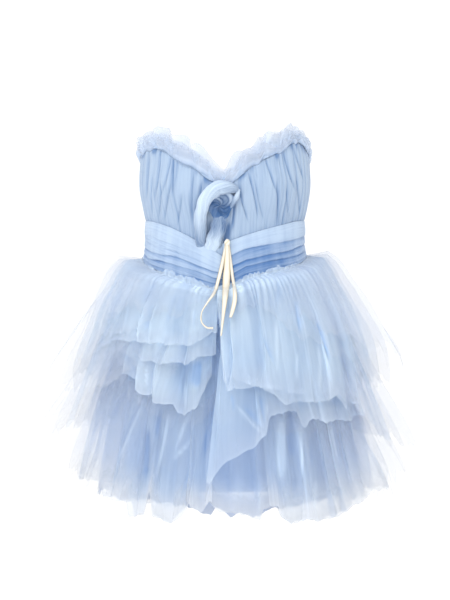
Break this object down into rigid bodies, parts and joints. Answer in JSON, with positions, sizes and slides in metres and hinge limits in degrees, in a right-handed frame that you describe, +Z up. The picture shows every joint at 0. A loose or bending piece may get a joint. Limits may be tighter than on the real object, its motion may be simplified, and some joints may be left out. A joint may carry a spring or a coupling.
{
  "type": "mini dress",
  "caption": "Strapless light blue tulle mini dress with a gathered bodice, rolled centre twist, pleated sash, satin ribbon ties and a full tiered skirt, held filled out.",
  "frame": {"origin": "middle of the waist, where the dress is held on its wearer", "axes": "+Z up the wearer's body, -Y out of the front of the dress, +X to the viewer's right in front view"},
  "size_m": [0.6295, 0.5029, 0.6807],
  "materials": {
    "gathered_tulle": "gathered matt tulle over a lining of the same blue",
    "sheer_tulle": "sheer matt net",
    "slip_lining": "smooth lining cloth",
    "cream_satin": "satin ribbon"
  },
  "bodies": {
    "root": {"bodice_front_left": "gathered_tulle", "bodice_front_right": "gathered_tulle", "bodice_back_right": "gathered_tulle", "bodice_back_left": "gathered_tulle", "neck_frill_front_left": "sheer_tulle", "neck_frill_front_right": "sheer_tulle", "neck_frill_back_right": "sheer_tulle", "neck_frill_back_left": "sheer_tulle", "sash_front_left": "gathered_tulle", "sash_front_right": "gathered_tulle", "sash_back_right": "gathered_tulle", "sash_back_left": "gathered_tulle", "slip_front_left": "slip_lining", "slip_front_right": "slip_lining", "slip_back_right": "slip_lining", "slip_back_left": "slip_lining", "top_tier_front_left": "sheer_tulle", "top_tier_front_right": "sheer_tulle", "top_tier_back_right": "sheer_tulle", "top_tier_back_left": "sheer_tulle", "middle_tier_front_left": "sheer_tulle", "middle_tier_front_right": "sheer_tulle", "middle_tier_back_right": "sheer_tulle", "middle_tier_back_left": "sheer_tulle", "bottom_tier_front_left": "sheer_tulle", "bottom_tier_front_right": "sheer_tulle", "bottom_tier_back_right": "sheer_tulle", "bottom_tier_back_left": "sheer_tulle", "twist_roll": "gathered_tulle", "ribbon_knot": "cream_satin", "ribbon_left": "cream_satin", "ribbon_middle": "cream_satin", "ribbon_right": "cream_satin"}
  },
  "joints": []
}
